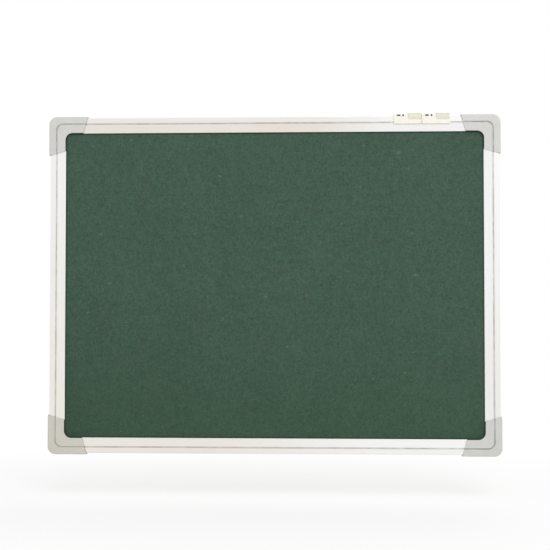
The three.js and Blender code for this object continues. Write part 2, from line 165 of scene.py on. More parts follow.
def stations(start, end, inset, step):
    """Places from start to end: both ends, a place close to each, and even steps between."""
    low, high = start + inset, end - inset
    count = max(1, round((high - low) / step))
    return [start, *(low + (high - low) * i / count for i in range(count + 1)), end]


def held(section, inset=0.5, step=9.0):
    """Adds points along each long edge, close to its ends, so that wear stays near corners."""
    points = []
    for i, (x, y) in enumerate(section):
        next_x, next_y = section[(i + 1) % len(section)]
        points.append((x, y))
        length = math.hypot(next_x - x, next_y - y)
        if length > 3 * inset:
            for along in stations(0, length, inset, step)[1:-1]:
                share = along / length
                points.append((x + (next_x - x) * share, y + (next_y - y) * share))
    return points


def skin(name, *rows):
    """One object of closed skins. Each is a row of equal rings, joined and capped."""
    points, faces = [], []
    for rings in rows:
        start, size = len(points), len(rings[0])
        points += [p for ring in rings for p in ring]
        for r in range(len(rings) - 1):
            for i in range(size):
                a, b = start + r * size + i, start + r * size + (i + 1) % size
                faces.append((a, b, b + size, a + size))
        faces.append(tuple(range(start, start + size))[::-1])
        faces.append(tuple(range(len(points) - size, len(points))))
    return new_object(name, points, faces)


def apply_modifiers(made):
    bpy.context.view_layer.update()
    shown = made.evaluated_get(bpy.context.evaluated_depsgraph_get())
    mesh = bpy.data.meshes.new_from_object(shown)
    made.modifiers.clear()
    made.data = mesh
    finish_mesh(mesh)
    return made


def soften_edges(made, width, segments=2):
    bevel = made.modifiers.new("edges", "BEVEL")
    bevel.width = width * MM
    bevel.segments = segments
    bevel.limit_method = "ANGLE"
    bevel.angle_limit = BEVEL_ANGLE
    return apply_modifiers(made)


def combine(made, others, operation):
    for other in others:
        step = made.modifiers.new("boolean", "BOOLEAN")
        step.operation = operation
        step.object = other
        step.solver = "EXACT"
    apply_modifiers(made)
    for other in others:
        bpy.data.objects.remove(other)
    return made


# %% [markdown]
# The sides and the corners are the same pieces turned a quarter turn at a time, so each is
# modelled once, as the top side or the top left corner, and carried round. Its own frame has x
# along the side, width down from the outer edge and depth from the wall.

# %% Carrying pieces round the board
SIDES = {
    "top": (0, BOARD_TOP, 0, BOARD_WIDTH),
    "right": (BOARD_RIGHT, MIDDLE_Z, 1, BOARD_HEIGHT),
    "bottom": (0, BOARD_BOTTOM, 2, BOARD_WIDTH),
    "left": (BOARD_LEFT, MIDDLE_Z, 3, BOARD_HEIGHT),
}
CORNERS = {
    "top_left": (BOARD_LEFT, BOARD_TOP, 0),
    "top_right": (BOARD_RIGHT, BOARD_TOP, 1),
    "bottom_right": (BOARD_RIGHT, BOARD_BOTTOM, 2),
    "bottom_left": (BOARD_LEFT, BOARD_BOTTOM, 3),
}


def carry(made, x, z, quarter_turns):
    turn = Matrix.Rotation(quarter_turns * math.pi / 2, 4, "Y")
    made.data.transform(Matrix.Translation(Vector((x, 0, z)) * MM) @ turn)
    return made


def at(x, width, depth):
    return (x, -depth, -width)


def settle(made, body, slot, materials, *nodes):
    """Gives a piece its materials and its body, and hides the nodes that it stands for; its slot
    is not used.
    """
    numbers = [face.material_index for face in made.data.polygons]
    made.data.materials.clear()
    for material in materials:
        made.data.materials.append(material)
    made.data.polygons.foreach_set("material_index", numbers)
    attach(made, body)
    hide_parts(*nodes)
    return made


# %% [markdown]
# Materials come next. Blender builds them from nodes, and most of those are a sum, a noise or a
# change of range, so each gets a short function on top of `add_node`. It takes a plain number or
# another node's output, and `feed` either sets the socket or links it.

# %% Helpers for nodes
def feed(tree, value, socket):
    if isinstance(value, bpy.types.NodeSocket):
        tree.links.new(value, socket)
    else:
        socket.default_value = value


def add_node(tree, kind, inputs, **settings):
    """Adds a node, sets it, feeds its inputs by number or name, and gives its outputs."""
    made = tree.nodes.new("ShaderNode" + kind)
    for label, value in settings.items():
        setattr(made, label, value)
    for label, value in inputs.items():
        feed(tree, value, made.inputs[label])
    return made.outputs


def calculate(tree, operation, first, second=0.0, kind="Math"):
    return add_node(tree, kind, {0: first, 1: second}, operation=operation)[0]


def multiply(tree, first, second):
    return calculate(tree, "MULTIPLY", first, second)


def larger(tree, first, second):
    return calculate(tree, "MAXIMUM", first, second)


def distance_from(tree, value, middle):
    return calculate(tree, "ABSOLUTE", calculate(tree, "SUBTRACT", value, middle))


def spread(tree, value, low, high, to_low=0.0, to_high=1.0):
    """Maps what lies between low and high onto to_low to to_high, and clamps the rest."""
    given = dict(enumerate((value, low, high, to_low, to_high)))
    return add_node(tree, "MapRange", given)[0]


def object_place(tree):
    return add_node(tree, "TexCoord", {})["Object"]


def object_axes(tree):
    return add_node(tree, "SeparateXYZ", {0: object_place(tree)})


def mapped(tree, place, **change):
    return add_node(tree, "Mapping", {"Vector": place, **change})["Vector"]


def noise_value(tree, place, scale, detail=3.0, roughness=0.5):
    given = {"Vector": place, "Scale": scale, "Detail": detail, "Roughness": roughness}
    return add_node(tree, "TexNoise", given)["Fac"]


# %% [markdown]
# The effects that several materials share are node groups. Each puts out only values, is built
# once, and is placed where it is needed with its own numbers. `mottle` is a slow drift over the
# surface, as no moulding or sheet is quite even.

# %% The mottle group
def new_group(name, outputs, **inputs):
    group = bpy.data.node_groups.new(name, "ShaderNodeTree")
    kind = {"socket_type": "NodeSocketFloat"}
    for label, value in inputs.items():
        made = group.interface.new_socket(label.replace("_", " "), in_out="INPUT", **kind)
        made.default_value = value
    for label in outputs:
        group.interface.new_socket(label, in_out="OUTPUT", **kind)
    taken, given = group.nodes.new("NodeGroupInput"), group.nodes.new("NodeGroupOutput")
    return group, taken.outputs, given.inputs


def build_mottle():
    group, taken, given = new_group("mottle", ["Value"], Scale=40.0, Low=0.0, High=1.0)
    drift = noise_value(group, object_place(group), taken["Scale"], 3.0, 0.55)
    feed(group, spread(group, drift, 0.3, 0.7, taken["Low"], taken["High"]), given["Value"])
    return group


MOTTLE = build_mottle()
print("group", MOTTLE.name)

# %% [markdown]
# `grain` is the fine skin of a moulded or pressed surface: an eroded mould leaves tiny pits, and
# pressed board has its fibres. Its height mixes two sizes of noise, and a second output tells the
# roughness which spots are smoother.

# %% The grain group
PIT_SCALE = 0.45


def build_grain():
    group, taken, given = new_group("grain", ["Height", "Polish"], Scale=900.0, Coarse=0.3)
    place, pit_scale = object_place(group), multiply(group, taken["Scale"], PIT_SCALE)
    fine = noise_value(group, place, taken["Scale"], 2.0, 0.6)
    pits = add_node(group, "TexVoronoi", {"Vector": place, "Scale": pit_scale})["Distance"]
    mixed = add_node(group, "Mix", {0: taken["Coarse"], 2: fine, 3: pits}, data_type="FLOAT")
    feed(group, mixed[0], given["Height"])
    feed(group, spread(group, fine, 0.35, 0.65), given["Polish"])
    return group


GRAIN = build_grain()

# %% [markdown]
# `drawn_lines` is what an extrusion die and the anodiser leave on a rail: faint streaks along the
# whole length, much finer across than along. They suit a turned part too. Noise stretched hard
# along one axis makes them, and the group takes it as three scales.

# %% The drawn lines group
def build_drawn_lines():
    stretch = {"Along_X": 2.0, "Along_Y": 900.0, "Along_Z": 900.0}
    group, taken, given = new_group("drawn_lines", ["Value"], **stretch)
    scales = add_node(group, "CombineXYZ", {i: taken["Along " + a] for i, a in enumerate("XYZ")})
    place = calculate(group, "MULTIPLY", object_place(group), scales[0], "VectorMath")
    streaks = noise_value(group, place, 1.0, 4.0, 0.7)
    feed(group, spread(group, streaks, 0.3, 0.7), given["Value"])
    return group


DRAWN = build_drawn_lines()

# %% [markdown]
# `handled_edges` finds the rims of a piece, where fingers rub first. `settled_dust_and_fold_shade`
# is the opposite: it darkens where a surface folds inwards, such as the frame's groove, as grey
# dust, which is never wiped out of there, together with painted shade. Geometry's Pointiness is
# high on outward edges and low in folds, so one function makes both. Noise breaks each mask up, so
# that neither is an even line.

# %% The handled edges and settled dust and fold shade groups
def build_relief_mask(name, start, end, scale, low, high, least):
    group, taken, given = new_group(name, ["Value"], Start=start, End=end)
    shape = add_node(group, "NewGeometry", {})["Pointiness"]
    found = spread(group, shape, taken["Start"], taken["End"])
    broken = spread(group, noise_value(group, object_place(group), scale), low, high, least)
    feed(group, multiply(group, found, broken), given["Value"])
    return group


EDGES = build_relief_mask("handled_edges", 0.52, 0.6, 160.0, 0.35, 0.6, 0.0)
# Dust in folds together with painted shade where a surface folds inwards.
FOLD_DUST_AND_SHADE = build_relief_mask("settled_dust_and_fold_shade", 0.5, 0.47, 90.0, 0.3, 0.65, 0.45)
print("groups", [g.name for g in bpy.data.node_groups])

# %% [markdown]
# One helper starts a material with the Principled shader and its constants, which are set on the
# shader's own sockets. The others place a group, blend two colours, blend in painted shade that
# lies in one part of the board, and feed the colour, roughness and bump to the shader.

# %% Helpers for materials
def new_material(name, **constants):
    material = bpy.data.materials.new(name)
    material.use_nodes = True
    shader = material.node_tree.nodes["Principled BSDF"]
    for label, value in constants.items():
        shader.inputs[label.replace("_", " ")].default_value = value
    return material, material.node_tree


def placed(tree, group, **values):
    given = {label.replace("_", " "): value for label, value in values.items()}
    return add_node(tree, "Group", given, node_tree=group)


def blend_colours(tree, factor, low, high):
    low, high = ((*c, 1) if isinstance(c, tuple) else c for c in (low, high))
    return add_node(tree, "Mix", {0: factor, 6: low, 7: high}, data_type="RGBA")[2]


def paint_shade(tree, base, strength, tint, **spans):
    """Blends in painted shade. Each span is an axis with where it starts and where it is full, in
    mm.
    """
    axes = object_axes(tree)
    for axis, (start, full) in spans.items():
        strength = multiply(tree, spread(tree, axes[axis], start * MM, full * MM), strength)
    return blend_colours(tree, strength, base, tint)


def finish(material, colour, gloss=None, relief=None):
    """Feeds a colour, a roughness, and a bump that is given as a height, a strength and mm."""
    tree = material.node_tree
    sockets = tree.nodes["Principled BSDF"].inputs
    feed(tree, colour, sockets["Base Color"])
    if gloss is not None:
        feed(tree, gloss, sockets["Roughness"])
    if relief is not None:
        height, strength, depth = relief
        given = {"Height": height, "Strength": strength, "Distance": depth * MM}
        feed(tree, add_node(tree, "Bump", given)["Normal"], sockets["Normal"])
    return material


# %% [markdown]
# The rails are aluminium with a satin silver anodised skin. A metal's colour is what it mirrors,
# so the streaks only nudge its colour and roughness. Each rail has a material of its own, as the
# streaks run along its length. Each also carries painted shade in place of uneven light: warm and
# a little darker at the left and below, cool on the right rail's lower part, and none towards the
# right, so each rail's painted shade starts and fills at its own places along x or z.

# %% Anodised aluminium
STREAK_ALONG, STREAK_ACROSS = 3.0, 1400.0
STREAK_COLOURS = (0.855, 0.85, 0.835), (0.972, 0.97, 0.962)
SLOW_DRIFT = (0.915, 0.905, 0.885)
RUBBED_METAL = (0.93, 0.925, 0.91)
METAL_DUST_AND_SHADE = (0.5, 0.49, 0.46)
# Painted shade colours for the rails: warm towards the left and below, cool on the right rail's
# lower part.
WARM_PAINTED_SHADE = (0.72, 0.63, 0.51)
COOL_PAINTED_SHADE = (0.7, 0.68, 0.62)


def aluminium(name, lengthwise, strength, tint, **spans):
    material, tree = new_material(name, Metallic=1.0, Roughness=0.34)
    scales = {"Along_" + a: STREAK_ALONG if a == lengthwise else STREAK_ACROSS for a in "XYZ"}
    streaks = placed(tree, DRAWN, **scales)["Value"]
    drift = placed(tree, MOTTLE, Scale=9.0)["Value"]
    # How strongly each rail gets painted shade, in place of light falling off towards the left and
    # below.
    painted_shade_amount = placed(tree, MOTTLE, Scale=14.0, Low=0.75 * strength, High=strength)["Value"]
    base = blend_colours(tree, streaks, *STREAK_COLOURS)
    warm = blend_colours(tree, drift, base, SLOW_DRIFT)
    with_painted_shade = paint_shade(tree, warm, painted_shade_amount, tint, **spans)
    worn = blend_colours(tree, placed(tree, EDGES)["Value"], with_painted_shade, RUBBED_METAL)
    dusted_and_shaded = blend_colours(tree, placed(tree, FOLD_DUST_AND_SHADE)["Value"], worn, METAL_DUST_AND_SHADE)
    gloss = spread(tree, streaks, 0, 1, 0.3, 0.42)
    return finish(material, dusted_and_shaded, gloss, (streaks, 0.12, 0.02))


# Where each rail's painted shade starts and where it is full, in mm.
TOP_SPAN = (BOARD_TOP + 6, BOARD_TOP - 14)
RAIL_METALS = {
    "top": aluminium("anodised_top", "X", 0.5, WARM_PAINTED_SHADE, X=(150, 60), Z=TOP_SPAN),
    "right": aluminium("anodised_right", "Z", 0.28, COOL_PAINTED_SHADE, Z=(-160, -360)),
    "bottom": aluminium("anodised_bottom", "X", 0.44, WARM_PAINTED_SHADE, X=(130, -70)),
    "left": aluminium("anodised_left", "Z", 0.34, WARM_PAINTED_SHADE, Z=(-60, -340)),
}

# %% [markdown]
# The caps, keys and hangers are mouldings. The caps are light grey with a fine eroded texture,
# and carry a warm painted shade towards the lower left. The hangers are a creamy natural nylon, a
# little glossier, with a painted shadow along the lower edge of their lips and a darker, duller
# grip with painted shade along its top. One function makes them all: they differ in colour, gloss,
# grain, how deep a crease has to be before it gets dust and painted shade, and where painted
# shade lies.

# %% Moulded plastics
CREASE_DEPTH = 0.03
DUST_AND_SHADE_SHARE = 0.3
RUBBED_GAIN = 1.05


def moulded(name, colour, shade, roughness, grain_scale, grain_mm, creases=0.5, **shade_paint):
    material, tree = new_material(name, Roughness=roughness)
    grain = placed(tree, GRAIN, Scale=grain_scale, Coarse=0.35)
    drift = placed(tree, MOTTLE, Scale=26.0)["Value"]
    fold_dust_and_shade = placed(tree, FOLD_DUST_AND_SHADE, Start=creases, End=creases - CREASE_DEPTH)["Value"]
    rubbed = tuple(min(1.0, c * RUBBED_GAIN) for c in colour)
    base = blend_colours(tree, drift, shade, colour)
    worn = blend_colours(tree, placed(tree, EDGES)["Value"], base, rubbed)
    dusted_and_shaded = blend_colours(tree, fold_dust_and_shade, worn, tuple(c * DUST_AND_SHADE_SHARE for c in shade))
    # Painted shade, where one is given: a warm cast on the caps, a shadow under the hangers' lips
    # and shade along the grips' tops.
    if shade_paint:
        dusted_and_shaded = paint_shade(tree, dusted_and_shaded, **shade_paint)
    gloss = spread(tree, grain["Polish"], 0, 1, roughness - 0.06, roughness + 0.08)
    return finish(material, dusted_and_shaded, gloss, (grain["Height"], 0.25, grain_mm))


HANGER_TOE = 0.45
HANGER_CHIN = GROOVE + HANGER_TOE + 2.3
CHIN_Z = BOARD_TOP - HANGER_CHIN
GRIP_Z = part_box("hanger_left")[1].z / MM
# The caps' warm, darker tint towards the lower left is painted shade.
CAP_PLASTIC = moulded(
    "grey_cap_plastic", (0.61, 0.605, 0.58), (0.565, 0.56, 0.535), 0.44, 1500.0, 0.03,
    strength=0.4, tint=(0.57, 0.54, 0.41), X=(50, -260), Z=(-200, -400),
)
KEY_PLASTIC = moulded("key_plastic", (0.48, 0.49, 0.47), (0.43, 0.44, 0.42), 0.5, 900.0, 0.04)
# The dark band at the lower edge of the hanger's lip is a painted shadow.
HANGER_PLASTIC = moulded(
    "cream_hanger_plastic", (0.835, 0.822, 0.73), (0.8, 0.785, 0.685), 0.36, 1200.0, 0.02,
    creases=0.44, strength=0.75, tint=(0.3, 0.29, 0.26),
    Z=(CHIN_Z + 1.0, CHIN_Z), Y=(0.4 - RAIL_FRONT, -RAIL_FRONT),
)
# The darker band along the grip's top is painted shade.
GRIP_PLASTIC = moulded(
    "cream_grip_plastic", (0.745, 0.73, 0.62), (0.7, 0.682, 0.565), 0.5, 700.0, 0.05,
    creases=0.44, strength=0.5, tint=(0.42, 0.41, 0.34), Z=(GRIP_Z - 1.8, GRIP_Z - 0.2),
)

# %% [markdown]
# The felt is a needled cloth: short fibres of slightly different greens lie every way, with no
# weave. Seen from a step away it is an even dark green that drifts a little towards blue or
# brown, with a fine pepper of lighter fibre ends over it. Stretched noise in two directions makes
# the nap. The thin hairs that curl over it are the lines where four more stretched noises, each
# turned its own way, pass their middle value.

# %% The felt's fibres
HAIR_STRETCH = (0.24, 1.0, 1.0)
HAIR_THINNESS = 0.024
HAIR_LAYERS = ((8, 520.0), (-37, 610.0), (52, 560.0), (95, 480.0))


def felt_noise(tree, stretch, scale, low, high):
    place = mapped(tree, object_place(tree), Scale=stretch)
    return spread(tree, noise_value(tree, place, scale, 3.0, 0.6), low, high)


def felt_hairs(tree, heading, scale):
    headed = mapped(tree, object_place(tree), Rotation=(0, math.radians(heading), 0))
    lying = noise_value(tree, mapped(tree, headed, Scale=HAIR_STRETCH), scale, 1.0)
    return spread(tree, distance_from(tree, lying, 0.5), 0, HAIR_THINNESS, 1, 0)


def all_hairs(tree):
    found = felt_hairs(tree, *HAIR_LAYERS[0])
    for layer in HAIR_LAYERS[1:]:
        found = larger(tree, found, felt_hairs(tree, *layer))
    return found


# %% [markdown]
# The felt's colour is laid on in the order in which the cloth was made: the dyed nap, the crossed
# fibres, the hairs, their pale ends and patches of drifting hue. Painted shade comes last: the
# cloth is a little darker low down, most of all at the left, and a painted shadow runs along the
# frame's lip. Nap and hairs together drive the bump.

# %% Green felt
NAP_COLOURS = (0.02, 0.054, 0.034), (0.05, 0.106, 0.072)
CROSSED_FIBRES = (0.026, 0.062, 0.039)
HAIR_COLOUR = (0.1, 0.182, 0.133)
PALE_ENDS = (0.115, 0.18, 0.135)
RIM_SHADOW_COLOUR = (0.034, 0.058, 0.043)
FELT_PATCHES = [
    (12.0, 0.2, (0.015, 0.036, 0.023)),
    (19.0, 0.07, (0.1, 0.17, 0.125)),
    (31.0, 0.14, (0.092, 0.096, 0.05)),
    (53.0, 0.14, (0.028, 0.112, 0.085)),
    (40.0, 0.14, (0.026, 0.05, 0.034)),
    (120.0, 0.26, (0.026, 0.05, 0.034)),
    (250.0, 0.36, (0.082, 0.13, 0.097)),
]
# Painted shade: the cloth darker low down, and most of all at the lower left.
FELT_PAINTED_SHADE = [
    ((0.028, 0.064, 0.028), {"Z": (MIDDLE_Z - 60, BOARD_BOTTOM)}),
    ((0.026, 0.056, 0.026), {"X": (-60, -290), "Z": (MIDDLE_Z, BOARD_BOTTOM)}),
]
FELT_SHADE_STRENGTH = 0.3


def lip_shadow_rim(tree):
    """1 where the felt meets the frame's lip, fading out over about two millimetres: a painted
    shadow.
    """
    axes, past = object_axes(tree), []
    for axis, middle, length in (("X", 0, BOARD_WIDTH), ("Z", MIDDLE_Z, BOARD_HEIGHT)):
        lip = length / 2 - RAIL_INNER
        off = distance_from(tree, axes[axis], middle * MM)
        past.append(spread(tree, off, (lip - 2.0) * MM, (lip + 0.2) * MM))
    return larger(tree, *past)


def felt_material():
    constants = {"Sheen_Weight": 0.1, "Sheen_Roughness": 0.6, "Specular_IOR_Level": 0.12}
    material, tree = new_material("green_felt", Roughness=0.95, **constants)
    nap = blend_colours(tree, felt_noise(tree, (1.0, 1.0, 0.8), 330.0, 0.36, 0.64), *NAP_COLOURS)
    level = felt_noise(tree, (0.22, 1.0, 1.0), 950.0, 0.3, 0.7)
    upright = felt_noise(tree, (1.0, 1.0, 0.22), 950.0, 0.3, 0.7)
    both = calculate(tree, "ADD", upright, level)
    cloth = blend_colours(tree, spread(tree, both, 0.4, 1.3), CROSSED_FIBRES, nap)
    hairs = all_hairs(tree)
    cloth = blend_colours(tree, multiply(tree, hairs, 0.55), cloth, HAIR_COLOUR)
    ends = felt_noise(tree, (0.6, 1.0, 0.6), 1100.0, 0.62, 0.72)
    cloth = blend_colours(tree, ends, cloth, PALE_ENDS)
    for scale, share, colour in FELT_PATCHES:
        patch = placed(tree, MOTTLE, Scale=scale, Low=0.0, High=share)["Value"]
        cloth = blend_colours(tree, patch, cloth, colour)
    for tint, spans in FELT_PAINTED_SHADE:
        cloth = paint_shade(tree, cloth, FELT_SHADE_STRENGTH, tint, **spans)
    # Painted shadow along the frame's lip.
    rim_shadowed = blend_colours(tree, lip_shadow_rim(tree), cloth, RIM_SHADOW_COLOUR)
    return finish(material, rim_shadowed, relief=(calculate(tree, "ADD", both, hairs), 0.6, 0.15))


FELT = felt_material()

# %% [markdown]
# Behind the felt are a fibre softboard, which hardly shows, and a hardboard back with the mesh
# print of its press screen. Two crossed waves give that mesh its height, and the pits between its
# lines get a little painted shade. The screws are zinc plated, with fine turning marks.

# %% Softboard, hardboard and zinc
MESH_PITCH = 2.4
MESH_SCALE = math.tau / (20 * MESH_PITCH * MM)


def screen_print(tree):
    """The height of the press screen's mesh: the higher of two waves that cross."""
    given = {"Vector": object_place(tree), "Scale": MESH_SCALE, "Distortion": 0.4}
    waves = [add_node(tree, "TexWave", given, bands_direction=axis)["Fac"] for axis in "XZ"]
    return larger(tree, *waves)


def pressed_board(name, light, dark, screened):
    material, tree = new_material(name, Roughness=0.8)
    grain = placed(tree, GRAIN, Scale=420.0, Coarse=0.1)
    base = blend_colours(tree, placed(tree, MOTTLE, Scale=30.0)["Value"], dark, light)
    base = blend_colours(tree, grain["Polish"], base, dark)
    flecks = spread(tree, placed(tree, MOTTLE, Scale=330.0)["Value"], 0.7, 1.0)
    shown = blend_colours(tree, flecks, base, tuple(c * 1.35 for c in light))
    height = grain["Height"]
    if screened:
        height = screen_print(tree)
        # Painted shade in the pits between the mesh lines.
        pits = multiply(tree, spread(tree, height, 0.75, 0.35), 0.3)
        shown = blend_colours(tree, pits, shown, tuple(c * 0.55 for c in dark))
    gloss = spread(tree, grain["Polish"], 0, 1, 0.68, 0.85)
    return finish(material, shown, gloss, (height, 0.5, 0.15))


def zinc_material():
    material, tree = new_material("zinc_screw", Metallic=1.0, Roughness=0.3)
    marks = placed(tree, DRAWN, Along_X=700.0, Along_Y=700.0, Along_Z=700.0)["Value"]
    base = blend_colours(tree, marks, (0.5, 0.52, 0.56), (0.66, 0.67, 0.68))
    worn = blend_colours(tree, placed(tree, EDGES)["Value"], base, (0.8, 0.8, 0.78))
    return finish(material, worn, spread(tree, marks, 0, 1, 0.25, 0.42))


SOFTBOARD = pressed_board("softboard", (0.42, 0.31, 0.19), (0.34, 0.24, 0.14), False)
HARDBOARD = pressed_board("hardboard", (0.3, 0.175, 0.085), (0.22, 0.125, 0.058), True)
ZINC = zinc_material()
print("materials", len(bpy.data.materials))

# %% [markdown]
# A rail is one extrusion cut to four lengths. Its section has a rounded outer edge, a narrow
# groove, a band that slopes gently down to the felt, a slot that holds the panel, and a short lip
# behind it. It is drawn as points and carried along the side, with more steps in its round edges
# than the solid has, and a small bevel eases its crisp corners. At both ends the front lip is cut
# back, because the opening of a cap is a little wider there.

# %% The rails
RAIL_EDGE = 1.2
RAIL_WALL = 1.3
RAIL_SLOT = 13.3
RAIL_REAR_LIP = 18.0
FRONT_GROOVE_DEPTH, REAR_GROOVE_DEPTH = 1.0, 0.8
BAND_SLOPE = 1.5
LIP_EDGE = 2.0
LIP_FRONT = RAIL_FRONT - BAND_SLOPE
LIP_CUT, LIP_CUT_END = RAIL_INNER - 3.2, CAP_LEG_INNER - 0.4


def band_front(width):
    """The depth of a rail's front on the band that slopes from its groove to its lip."""
    start = GROOVE + GROOVE_MOUTH / 2
    share = (width - start) / (RAIL_INNER - LIP_EDGE / 2 - start)
    return RAIL_FRONT - BAND_SLOPE * share


def rail_section():
    edge, nose = RAIL_EDGE, LIP_EDGE / 2
    slot, rear_lip = RAIL_OUTER + RAIL_SLOT, RAIL_OUTER + RAIL_REAR_LIP
    return [
        *arc(RAIL_OUTER + edge, RAIL_REAR + edge, edge, 180, 270, 6),
        *groove(RAIL_REAR, -REAR_GROOVE_DEPTH)[::-1],
        (rear_lip, RAIL_REAR),
        (rear_lip, RAIL_REAR + RAIL_WALL),
        (slot, RAIL_REAR + RAIL_WALL),
        (slot, LIP_FRONT - LIP_EDGE),
        *arc(RAIL_INNER - nose, LIP_FRONT - nose, nose, -90, 90, 9),
        *groove(RAIL_FRONT, FRONT_GROOVE_DEPTH),
        *arc(RAIL_OUTER + edge, RAIL_FRONT - edge, edge, 90, 180, 6),
    ]


def slab(name, outline, rear, front):
    return skin(name, [[at(x, w, depth) for x, w in outline] for depth in (rear, front)])


def block(name, along, across, depths):
    (x0, x1), (w0, w1) = along, across
    return slab(name, [(x0, w0), (x1, w0), (x1, w1), (x0, w1)], *depths)


def lip_cutter(end, length):
    """What comes off a rail's front lip at one end, where the cap lies over it."""
    along = end * length / 2, end * (length / 2 - LIP_CUT_END)
    depths = LIP_FRONT - LIP_EDGE - 1, RAIL_FRONT
    return block("lip_cutter", along, (LIP_CUT, RAIL_INNER + 1), depths)


def make_rail(name, x, z, turns, length):
    half = length / 2 - RAIL_END
    section = held(rail_section())
    rings = [[at(x, w, d) for w, d in section] for x in stations(-half, half, 0.6, 80)]
    made = soften_edges(skin("dressed_rail_" + name, rings), 0.12)
    combine(made, [lip_cutter(end, length) for end in (-1, 1)], "DIFFERENCE")
    carry(made, x, z, turns)
    return settle(made, "board", "satin_aluminium", [RAIL_METALS[name]], "rail_" + name)


rails = [make_rail(name, *side) for name, side in SIDES.items()]
print("rails", [r.name for r in rails])

# %% [markdown]
# A corner cap is a moulded shell that wraps the two rail ends. The photo shows that it turns the
# corner with a different bend at each line: wide at the outer edge, tighter at the groove and at
# the opening. So each point of its section follows its own rounded L. Both legs end on a slant,
# longer at the outer edge than at the inner one, and two countersunk holes go through the back
# for the screws.

# %% The corner caps
CAP_EDGE = 1.6
CAP_FACE = 21.5
CAP_WALL = 1.4
CAP_BACK = 2.0
CAP_REAR_REACH = 17.5
CAP_GROOVE_DEPTH = 0.9
BEND_AT = ((0.0, 10.5), (GROOVE, 8.5), (CAP_FACE, 9.5))
BEND_STEPS = 24
LEG_RINGS = {-2: 0.0, -1: 0.6, 2: 0.6, 3: 0.0}


def bend_radius(width):
    for (w0, r0), (w1, r1) in zip(BEND_AT, BEND_AT[1:]):
        if width <= w1:
            return r0 + (r1 - r0) * (width - w0) / (w1 - w0)
    return BEND_AT[-1][1]


def leg_end(width):
    return CAP_LEG_OUTER + (CAP_LEG_INNER - CAP_LEG_OUTER) * width / CAP_FACE


def cap_section():
    edge, lip = CAP_EDGE, CAP_WALL / 2
    inside = CAP_FRONT - CAP_WALL
    lip_front = band_front(CAP_FACE) + CAP_FRONT - RAIL_FRONT
    return [
        *arc(edge, edge, edge, 180, 270, 7),
        (CAP_REAR_REACH, 0),
        (CAP_REAR_REACH, CAP_BACK),
        (CAP_WALL, CAP_BACK),
        (CAP_WALL, inside),
        (GROOVE + GROOVE_MOUTH / 2, inside),
        (CAP_FACE, lip_front - CAP_WALL),
        *arc(CAP_FACE - lip, lip_front - lip, lip, 0, 80, 6),
        *groove(CAP_FRONT, CAP_GROOVE_DEPTH),
        *arc(edge, CAP_FRONT - edge, edge, 90, 180, 7),
    ]


def cap_ring(share):
    """The section at one place: 0 to 1 round the bend, or one of the rings on the two legs."""
    points = []
    for width, depth in held(cap_section()):
        if share in LEG_RINGS:
            ends = (leg_end(width) - LEG_RINGS[share], width)
            x, down = ends if share < 0.5 else ends[::-1]
        else:
            radius = bend_radius(width)
            angle = math.radians(270 - 90 * share)
            x = width + radius * (1 + math.cos(angle))
            down = width + radius * (1 + math.sin(angle))
        points.append(at(x, down, depth))
    return points


CAP_RINGS = [-2, -1, *(i / BEND_STEPS for i in range(BEND_STEPS + 1)), 2, 3]
SCREW_LOW, SCREW_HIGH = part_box("cap_screw_top_left_1")
SCREW_ALONG, SCREW_ACROSS = 36.0, BOARD_TOP - (SCREW_LOW.z + SCREW_HIGH.z) / 2 / MM
SCREW_PLACES = ((SCREW_ALONG, SCREW_ACROSS), (SCREW_ACROSS, SCREW_ALONG))
HOLE_PROFILE = ((3.2, -1.0), (3.2, 0.2), (1.75, 1.6), (1.75, 3.0))


def turned(name, profile, x, width, segments=32):
    rings = []
    spots = [math.tau * i / segments for i in range(segments)]
    for r, depth in profile:
        rings.append([at(x + r * math.cos(a), width + r * math.sin(a), depth) for a in spots])
    return skin(name, rings)


def make_cap(name, corner):
    shell = soften_edges(skin("dressed_cap_" + name, [cap_ring(s) for s in CAP_RINGS]), 0.22)
    holes = [turned("hole", HOLE_PROFILE, *place) for place in SCREW_PLACES]
    combine(shell, holes, "DIFFERENCE")
    carry(shell, *corner)
    return settle(shell, "board", "grey_cap_plastic", [CAP_PLASTIC], "corner_cap_" + name)


caps = [make_cap(name, corner) for name, corner in CORNERS.items()]
print("caps", [(c.name, len(c.data.polygons)) for c in caps])

# %% [markdown]
# Two countersunk screws hold each cap from behind. Two crossed wedges are cut out of each head
# for its recess, and the thread is a row of ridges, turned with the rest.

# %% The screws
HEAD_RADIUS = (SCREW_HIGH.x - SCREW_LOW.x) / 2 / MM
SCREW_TOP, SCREW_TIP = -SCREW_HIGH.y / MM, -SCREW_LOW.y / MM
SHANK_RADIUS = 1.45
THREAD_PITCH, THREAD_DEPTH = 0.8, 0.3
RECESS_LONG, RECESS_WIDE, RECESS_DEPTH, RECESS_TAPER = 1.7, 0.33, 1.0, 0.35
AXIS_RADIUS = 0.02


def screw_profile():
    points = [
        (AXIS_RADIUS, SCREW_TOP + 0.1),
        (HEAD_RADIUS * 0.7, SCREW_TOP + 0.05),
        (HEAD_RADIUS - 0.1, SCREW_TOP),
        (HEAD_RADIUS, SCREW_TOP + 0.15),
        (SHANK_RADIUS, SCREW_TOP + 1.4),
    ]
    depth = SCREW_TOP + 1.7
    while depth < SCREW_TIP - 2.2:
        points += [(SHANK_RADIUS - THREAD_DEPTH, depth), (SHANK_RADIUS, depth + 0.35)]
        depth += THREAD_PITCH
    return points + [(SHANK_RADIUS - THREAD_DEPTH, SCREW_TIP - 1.8), (AXIS_RADIUS, SCREW_TIP)]


